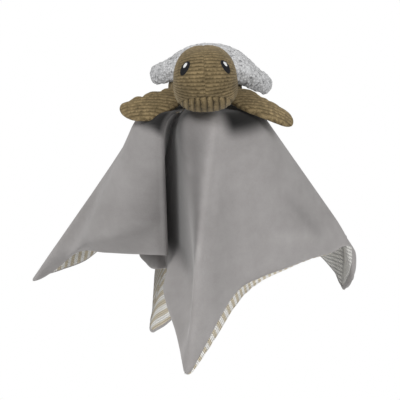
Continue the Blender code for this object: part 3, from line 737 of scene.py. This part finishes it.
def smooth_path(knots, steps):
    """Curve through the knots, ends repeated, at even steps of knot number."""
    full = np.concatenate([2 * knots[:1] - knots[1:2], knots, 2 * knots[-1:] - knots[-2:-1]])
    at = np.linspace(0, len(knots) - 1, steps)
    i = np.minimum(at.astype(int), len(knots) - 2)
    t = (at - i)[:, None]
    a, b, c, d = full[i], full[i + 1], full[i + 2], full[i + 3]
    return between(a, b, c, d, t)


def tufty(points, size, seed):
    """Soft random height about 0: sum of 24 sine waves in seeded directions of about one size."""
    random = np.random.default_rng(seed)
    total = np.zeros(points.shape[:-1])
    for _ in range(24):
        way = random.normal(size=3)
        way *= 2 * math.pi / (size * random.uniform(0.7, 1.5)) / np.linalg.norm(way)
        total += np.sin(points @ way + random.uniform(0, 6.28))
    return total / 24


def shell_part(name, first_knot, last_knot):
    """Section turned about the upright axis, wider at the front, the front edge lifted by
    cos^2 of the angle, all tilted to the viewer's right."""
    section = smooth_path(SHELL_SECTION, LAST_KNOT * STEPS_PER_KNOT + 1)
    section = section[first_knot * STEPS_PER_KNOT:last_knot * STEPS_PER_KNOT + 1]
    turn = np.linspace(0, 2 * math.pi, 300, endpoint=False)[None, :]
    radius = section[:, :1]
    taper = 1 - SHELL_TAPER * np.maximum(np.cos(turn), 0) ** 2
    x = radius * np.sin(turn) * taper * SHELL_HALF_WIDTH
    y = radius * np.cos(turn) * SHELL_HALF_LENGTH
    front = np.maximum(-np.cos(turn), 0) ** 2 * SHELL_FRONT_LIFT
    z = section[:, 1:] * SHELL_RISE + radius**2 * front
    points = np.stack([x, y, z], -1)
    edge = np.gradient(points, axis=0)
    round_way = np.roll(points, -1, axis=1) - np.roll(points, 1, axis=1)
    normal = unit(np.cross(edge, round_way))
    middle = np.array((0, 0, SHELL_RISE * 0.3))
    normal *= np.sign(((points - middle) * normal).sum(-1).mean())
    rough = LOOP_HEIGHT * tufty(points, LOOP_SIZE, 5) + TUFT_HEIGHT * tufty(points, TUFT_SIZE, 9)
    points = points + normal * rough[..., None]
    turned = np.array(Matrix.Rotation(SHELL_TILT, 3, "Y"))
    points = clear_of_head(points @ turned.T + SHELL_MIDDLE)
    at_start = points[0].mean(0) if first_knot == 0 else None
    at_end = points[-1].mean(0) if last_knot == LAST_KNOT else None
    if first_knot == 0:
        points = points[1:]
    if last_knot == LAST_KNOT:
        points = points[:-1]
    return grid_piece(name, points, True, True, first=at_start, last=at_end)


# Looped knit: round pale loops with dark between them, and dark flecks of thread.
looped, tree, shader, place = finish_of("looped_grey", 0.95, 0.3, (1, 1, 1))
loops = add(tree, "ShaderNodeTexVoronoi", Scale=420.0, Randomness=0.85)
tree.links.new(place.outputs["Object"], loops.inputs["Vector"])
strands = noise(tree, place.outputs["Object"], 900, 3, 0.7)
flecks = noise(tree, place.outputs["Object"], 300, 2, 0.5)
light_wool = (0.86, 0.865, 0.87)
wool = ramp(tree, loops.outputs["Distance"], ((0.0, light_wool), (0.72, (0.30, 0.30, 0.305))))
threads = ramp(tree, strands, ((0.3, (0.36, 0.36, 0.365)), (0.7, light_wool)))
wool = blend_colour(tree, 0.35, wool, threads)
fleck_share = ramp(tree, flecks, ((0.60, 0.0), (0.66, 0.75)))
wool = blend_colour(tree, fleck_share, wool, (0.10, 0.10, 0.105))
tree.links.new(wool, shader.inputs["Base Color"])
relief(tree, shader, ((loops.outputs["Distance"], -0.0010, 0.8), (strands, 0.0006, 0.5)))

for name, low, high, nodes in (
    ("shell_top", 0, RIM_KNOT, ("shell_top_panel", "shell_stuffing")),
    ("shell_underside", RIM_KNOT, LAST_KNOT, ("shell_underside_panel",)),
):
    piece = shell_part(name, low, high)
    piece.data.materials.append(looped)
    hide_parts(*nodes)
    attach(piece, "blanket")

# Head: an egg of corduroy. Two crown panels with wales across meet on a seam from neck to
# nose, and a chin panel with wales running down closes it below the mouth. It is filled
# firmly and sewn to the body at the neck.

MOUTH_DROP = 0.0225
MOUTH_SLOPE = math.radians(40)
CHIN_WALE = 0.0048
SIGHT = math.radians(28)
FAN_BACK = 0.018
CROWN_RELIEF = 0.00028
CROWN_TUFTS = 0.0003
CHIN_RELIEF = 0.00055
CHIN_SPLIT = 0.00028
CROWN_OFFSET = 0.35
SEAM_DENT, SEAM_WIDTH = 0.0005, 0.0007
MOUTH_DENT, MOUTH_WIDTH = 0.0006, 0.0009

mouth_up = np.array((0, math.sin(MOUTH_SLOPE), math.cos(MOUTH_SLOPE)))
mouth_front = np.array((0, -math.cos(MOUTH_SLOPE), math.sin(MOUTH_SLOPE)))
mouth_depth = MOUTH_DROP * float((HEAD_TURN @ mouth_up)[2])


def head_way(height, turn):
    """Unit direction at an angle above the mouth's plane and a turn from the nose."""
    level = np.cos(height)
    flat = np.cos(turn)[..., None] * mouth_front + np.sin(turn)[..., None] * np.array((1.0, 0, 0))
    return level[..., None] * flat + np.sin(height)[..., None] * mouth_up


def mouth_height(turn):
    """Angle at which the mouth's plane meets the egg for each turn, by halving."""
    low = np.full(turn.shape, -math.pi / 2)
    high = np.zeros(turn.shape)
    for _ in range(30):
        middle = (low + high) / 2
        below = egg_reach(head_way(middle, turn)) * np.sin(middle) < -mouth_depth
        low = np.where(below, middle, low)
        high = np.where(below, high, middle)
    return low


outline_turn = np.linspace(-math.pi, math.pi, 721)
outline_way = np.stack([np.zeros(721), -np.cos(outline_turn), np.sin(outline_turn)], -1)
outline = outline_way * egg_reach(outline_way)[:, None]
fan_centre = FAN_BACK * np.array((0, math.cos(SIGHT), -math.sin(SIGHT)))


def fan_turn(points):
    """Angle about a line across the head behind its middle, from the line of sight."""
    off = points - fan_centre
    turn = np.arctan2(off[..., 2], -off[..., 1]) - SIGHT
    return (turn + math.pi) % (2 * math.pi) - math.pi


fan_order = np.argsort(fan_turn(outline[:-1]))
fan_knots = fan_turn(outline[:-1])[fan_order]
fan_points = outline[:-1][fan_order]
fan_run = np.concatenate([[0], np.cumsum(np.linalg.norm(np.diff(fan_points, axis=0), axis=1))])


def crown_wales(points):
    """Number of the wale at each point: run of the outline at the same fan angle over a wale."""
    return np.interp(fan_turn(points), fan_knots, fan_run) / WALE


def crown(name, side):
    """Half of the egg above the mouth's plane, wales and seams worked into its radius."""
    turn = side * np.linspace(0, math.pi, 170)[None, :]
    share = np.linspace(0, 1, 170)[:, None] ** 0.9
    low = mouth_height(np.abs(turn)) * np.ones_like(share)
    height = low + (math.pi / 2 - low) * share * 0.9999
    way = head_way(height, turn * np.ones_like(share))
    points = way * egg_reach(way)[..., None]
    count = crown_wales(points) + (CROWN_OFFSET if side == 1 else 0.0)
    along_wale = np.arcsin(np.clip(points[..., 0] / HEAD_SIDE, -1, 1)) * HEAD_SIDE / WALE
    above = points @ mouth_up + mouth_depth
    lift = CROWN_RELIEF * (wale(count) - 0.5) + CROWN_TUFTS * tufty(points, 0.012, 3) + 0.0004
    lift = lift - SEAM_DENT * bell(points[..., 0], SEAM_WIDTH)
    lift = lift - MOUTH_DENT * bell(above, MOUTH_WIDTH)
    points = points + way * lift[..., None]
    points = points @ HEAD_TURN.T + HEAD_MIDDLE
    return grid_piece(name, points, False, side == -1, np.stack([along_wale, count], -1))


def chin(name):
    """The egg below the mouth's plane, wales on planes of equal distance from the middle,
    each with a faint split along its crest."""
    turn = np.linspace(0, 2 * math.pi, 360, endpoint=False)[None, :]
    share = np.linspace(0, 1, 60)[:, None]
    low = mouth_height(turn) * np.ones_like(share)
    height = low - (math.pi / 2 + low) * share * 0.99
    way = head_way(height, turn * np.ones_like(share))
    points = way * egg_reach(way)[..., None]
    count = points[..., 0] / CHIN_WALE + 0.5
    below = -(points @ mouth_up + mouth_depth)
    depth = CHIN_RELIEF * (wale(count) - 0.5) - CHIN_SPLIT * bell((count % 1) - 0.5, 0.07)
    lift = depth * ease(below / 0.0015) - MOUTH_DENT * bell(below, MOUTH_WIDTH) + 0.0002
    points = points + way * lift[..., None]
    tip = points[-1].mean(0)
    points = points @ HEAD_TURN.T + HEAD_MIDDLE
    tip = tip @ HEAD_TURN.T + HEAD_MIDDLE
    place = np.stack([height * HEAD_SIDE / WALE, count], -1)
    return grid_piece(name, points, True, True, place, last=tip)


for name, side, nodes in (
    ("head_left", -1, ("head_left_panel", "head_stuffing")),
    ("head_right", 1, ("head_right_panel",)),
    ("head_chin", 0, ("head_chin_panel",)),
):
    piece = crown(name, side) if side else chin(name)
    piece.data.materials.append(head_cord if side else chin_cord)
    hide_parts(*nodes)
    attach(piece, "head")

# Eyes: black ovals of satin stitch with a small white oval near the top of each, sewn
# through the crown panels before the head was filled.

# Place of the right eye, mirrored for the left, and how far both sit off it: right and up.
EYE_PLACE = np.array((0.0163, -0.0169, 0.0163))
EYE_SHIFT = np.array((0.0012, 0, 0.0010))
EYE_TURN = math.radians(66)
EYE_SINK = 0.0006
THREAD_TURNS = 15.0


def oval(name, side, inward, upward, length, width, low, pad, finish, slot, node):
    """Disc of ellipses on the egg: the height is low plus pad times (1 - r^2)^0.5, and its
    last ring sinks into the cloth."""
    centre = EYE_PLACE * (side, 1, 1) + EYE_SHIFT
    face = centre / np.linalg.norm(centre)
    up = unit(np.array((0.0, 1.0, 0.0)) - face * face[1])
    inner = unit(np.cross(up, face))
    inner = inner * -np.sign(inner[0] * side)
    lean_up = up * math.cos(EYE_TURN) + inner * math.sin(EYE_TURN)
    lean_in = inner * math.cos(EYE_TURN) - up * math.sin(EYE_TURN)
    centre = centre + lean_up * upward + lean_in * inward
    radius = np.concatenate([np.linspace(0.06, 0.96, 14), [0.985, 1.0, 1.0]])[:, None]
    height = np.sqrt(np.maximum(1 - radius**2, 0)) * pad + low
    height[-1] = -EYE_SINK
    turn = np.linspace(0, 2 * math.pi, 72, endpoint=False)[None, :]
    across = radius * np.sin(turn) * width / 2
    along_eye = radius * np.cos(turn) * length / 2
    aim = centre + along_eye[..., None] * lean_up + across[..., None] * lean_in
    way = unit(aim)
    points = way * (egg_reach(way) + height)[..., None]
    tip = unit(centre) * (egg_reach(unit(centre)) + low + pad)
    place = np.stack([across * 1000, along_eye * 1000], -1)
    points = points @ HEAD_TURN.T + HEAD_MIDDLE
    tip = tip @ HEAD_TURN.T + HEAD_MIDDLE
    piece = grid_piece(name, points, True, side == -1, place, first=tip)
    piece.data.materials.append(finish)
    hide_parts(node)
    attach(piece, "head")
    return piece


def satin(name, colour, light):
    """Satin stitch: threads side by side across the oval, each a soft ridge."""
    material, tree, shader, place = finish_of(name, 0.55, 0.0, (1, 1, 1))
    split = tree.nodes.new("ShaderNodeSeparateXYZ")
    tree.links.new(place.outputs["UV"], split.inputs[0])
    wobble = noise(tree, place.outputs["UV"], 1.2, 2, 0.5)
    along_thread = sums(tree, "MULTIPLY_ADD", split.outputs[1], THREAD_TURNS, wobble)
    threads = sums(tree, "SINE", along_thread)
    share = ramp(tree, threads, ((0.0, 0.0), (1.0, 1.0)))
    tree.links.new(blend_colour(tree, share, colour, light), shader.inputs["Base Color"])
    relief(tree, shader, ((threads, 0.00015, 0.6),))
    return material


black_satin = satin("black_satin", (0.008, 0.008, 0.009), (0.022, 0.022, 0.025))
white_satin = satin("white_satin", (0.72, 0.72, 0.72), (0.86, 0.86, 0.86))
# Inward, upward, length, width, height at the edge and padding of each oval.
EYE_OVAL = (0, 0, 0.0126, 0.0071, 0.0007, 0.0006)
GLINT_OVAL = (-0.0005, 0.0021, 0.0044, 0.0027, 0.0013, 0.0004)
for side, word in ((-1, "left"), (1, "right")):
    eye, glint = word + "_eye", word + "_eye_glint"
    oval(word + "_eye_patch", side, *EYE_OVAL, black_satin, "thread_black", eye)
    oval(word + "_eye_spot", side, *GLINT_OVAL, white_satin, "thread_white", glint)

# Flippers: stuffed paddles with a scalloped edge, a front and a back panel of corduroy sewn
# round it, sewn to the body's front corners. The left one shows its face, the right droops.

FLIPPER_LENGTH = 0.0480
FLIPPER_CHORD = 0.0300
FLIPPER_DEPTH = 0.0095
FLIPPER_SWEEP = math.radians(12)
FLIPPER_FALL = math.radians(6)
FLIPPER_ROOT = (0.0240, -0.0140, 0.0115)
FLIPPER_WALE_TILT = math.radians(20)
PADDLE_RELIEF = 0.00030
PADDLE_SWELL = 0.0004
LEFT_OUTLINE = np.array((
    (-0.14, 0.08),
    (-0.10, 0.22),
    (0.11, 0.30),
    (0.21, 0.22),
    (0.38, 0.29),
    (0.50, 0.24),
    (0.58, 0.16),
    (0.67, 0.25),
    (0.81, 0.16),
    (0.92, 0.16),
    (0.96, 0.01),
    (0.93, -0.22),
    (0.82, -0.47),
    (0.65, -0.64),
    (0.49, -0.69),
    (0.31, -0.60),
    (0.06, -0.44),
    (-0.14, -0.16),
))
RIGHT_OUTLINE = np.array((
    (-0.14, 0.08),
    (-0.10, 0.24),
    (0.15, 0.36),
    (0.29, 0.32),
    (0.43, 0.21),
    (0.54, 0.22),
    (0.62, 0.15),
    (0.71, 0.22),
    (0.82, 0.17),
    (0.95, 0.19),
    (1.02, 0.06),
    (1.02, -0.16),
    (0.93, -0.35),
    (0.80, -0.45),
    (0.65, -0.51),
    (0.46, -0.55),
    (0.20, -0.52),
    (-0.14, -0.20),
))


def closed_path(knots, steps):
    """Curve through the knots and back to the first, at even steps of its run."""
    count = len(knots)
    at = np.linspace(0, count, 40 * count, endpoint=False)
    i = at.astype(int)
    t = (at - i)[:, None]
    a, b, c, d = (knots[(i + shift) % count] for shift in (-1, 0, 1, 2))
    curve = between(a, b, c, d, t)
    closed = np.concatenate([curve, curve[:1]])
    run = np.concatenate([[0], np.cumsum(np.linalg.norm(np.diff(closed, axis=0), axis=1))])
    even = np.linspace(0, run[-1], steps, endpoint=False)
    return np.stack([np.interp(even, run, closed[:, 0]), np.interp(even, run, closed[:, 1])], -1)


def flipper_frame(side, lean):
    """Axes at the shoulder: out along the paddle, up its chord, out of its face."""
    forward, down = -math.sin(FLIPPER_SWEEP), -math.tan(FLIPPER_FALL)
    out = Vector((side * math.cos(FLIPPER_SWEEP), forward, down)).normalized()
    chord = Vector((0, math.cos(lean), math.sin(lean)))
    chord = (chord - out * chord.dot(out)).normalized()
    face = out.cross(chord) * side
    return np.array((out, chord, face)), np.array(FLIPPER_ROOT) * (side, 1, 1)


def paddle(name, side, outline, lean, droop, face_side):
    """Lens on the outline, depth cos^0.8 of the ring angle, drooping as the square of the reach,
    wales tilted on the flat paddle."""
    edge = closed_path(outline * (FLIPPER_LENGTH, FLIPPER_CHORD), 260)
    centre = edge.mean(0)
    ring = np.linspace(0.02, math.pi / 2, 70)[:, None]
    flat = centre + np.sin(ring)[..., None] * (edge - centre)[None]
    depth = np.cos(ring) ** 0.8 * FLIPPER_DEPTH / 2 * np.ones(len(edge))
    tilt = FLIPPER_WALE_TILT
    count = (flat[..., 1] * math.cos(tilt) - flat[..., 0] * math.sin(tilt)) / WALE
    swell = PADDLE_SWELL * tufty(np.concatenate([flat, depth[..., None]], -1), 0.010, 7)
    relief_height = PADDLE_RELIEF * (wale(count) - 0.5) + swell
    depth = depth + relief_height * ease(np.cos(ring) * 4)
    out = flat[..., 0]
    rise = face_side * depth - droop * (out / FLIPPER_LENGTH) ** 2 * np.sign(out)
    axes, root = flipper_frame(side, lean)
    points = np.stack([out, flat[..., 1], rise], -1) @ axes + root
    rise = face_side * FLIPPER_DEPTH / 2 - droop * (centre[0] / FLIPPER_LENGTH) ** 2
    tip = np.array((*centre, rise)) @ axes + root
    place = np.stack([flat[..., 0] / WALE, count], -1)
    return grid_piece(name, points, True, (side * face_side) == 1, place, first=tip)


for side, word, outline_shares, lean, droop in (
    (-1, "left", LEFT_OUTLINE, math.radians(32), 0.0075),
    (1, "right", RIGHT_OUTLINE, math.radians(22), 0.0165),
):
    for face_side, panel in ((1, "front"), (-1, "back")):
        name = f"{word}_flipper_{panel}"
        piece = paddle(name, side, outline_shares, lean, droop, face_side)
        piece.data.materials.append(flipper_cord)
        filling = [f"{word}_flipper_stuffing"] if face_side == 1 else []
        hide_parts(name + "_panel", *filling)
        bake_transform(piece)

# Floor and light: a plain pale floor well below the hanging blanket, a large soft lamp high
# on the left, a weaker one on the right, and an even pale surround.

FLOOR_HALF = 6
FLOOR_HEIGHT = -0.5
FLOOR_COLOUR = (0.8, 0.8, 0.8, 1)
SURROUND_STRENGTH = 0.40
LAMP_SIZE = 1.0
LAMP_AIM = Vector((0, 0, -0.08))
WHITE = (1, 1, 1, 1)


def white_to_camera(owner, output, plain, white, **values):
    """Nodes that make the owner plain to every ray but the camera's, and white to that one."""
    owner.use_nodes = True
    tree = owner.node_tree
    tree.nodes.clear()
    rays = tree.nodes.new("ShaderNodeLightPath")
    for_others = add(tree, plain, **values)
    for_camera = add(tree, white, Color=WHITE, Strength=1.0)
    mix = tree.nodes.new("ShaderNodeMixShader")
    tree.links.new(rays.outputs["Is Camera Ray"], mix.inputs[0])
    tree.links.new(for_others.outputs[0], mix.inputs[1])
    tree.links.new(for_camera.outputs[0], mix.inputs[2])
    tree.links.new(mix.outputs[0], tree.nodes.new(output).inputs[0])


floor_corners = [
    (x * FLOOR_HALF, y * FLOOR_HALF, FLOOR_HEIGHT) for x, y in ((-1, -1), (1, -1), (1, 1), (-1, 1))
]
floor_mesh = bpy.data.meshes.new("floor")
floor_mesh.from_pydata(floor_corners, [], [(0, 1, 2, 3)])
floor = bpy.data.objects.new("floor", floor_mesh)
bpy.context.collection.objects.link(floor)
paper = bpy.data.materials.new("paper")
white_to_camera(
    paper, "ShaderNodeOutputMaterial", "ShaderNodeBsdfDiffuse", "ShaderNodeEmission",
    Color=FLOOR_COLOUR,
)
floor_mesh.materials.append(paper)

world = bpy.data.worlds.new("surround")
bpy.context.scene.world = world
white_to_camera(
    world, "ShaderNodeOutputWorld", "ShaderNodeBackground", "ShaderNodeBackground",
    Color=WHITE, Strength=SURROUND_STRENGTH,
)

for name, where, power in (
    ("lamp_left", (-1.3, -1.6, 1.9), 46.0),
    ("lamp_right", (1.5, -1.3, 1.2), 23.0),
):
    lamp_data = bpy.data.lights.new(name, "AREA")
    lamp_data.size = LAMP_SIZE
    lamp_data.energy = power
    lamp = bpy.data.objects.new(name, lamp_data)
    bpy.context.collection.objects.link(lamp)
    lamp.location = where
    lamp.rotation_euler = (LAMP_AIM - lamp.location).to_track_quat("-Z", "Y").to_euler()

scene = bpy.context.scene
scene.view_settings.view_transform = "Standard"
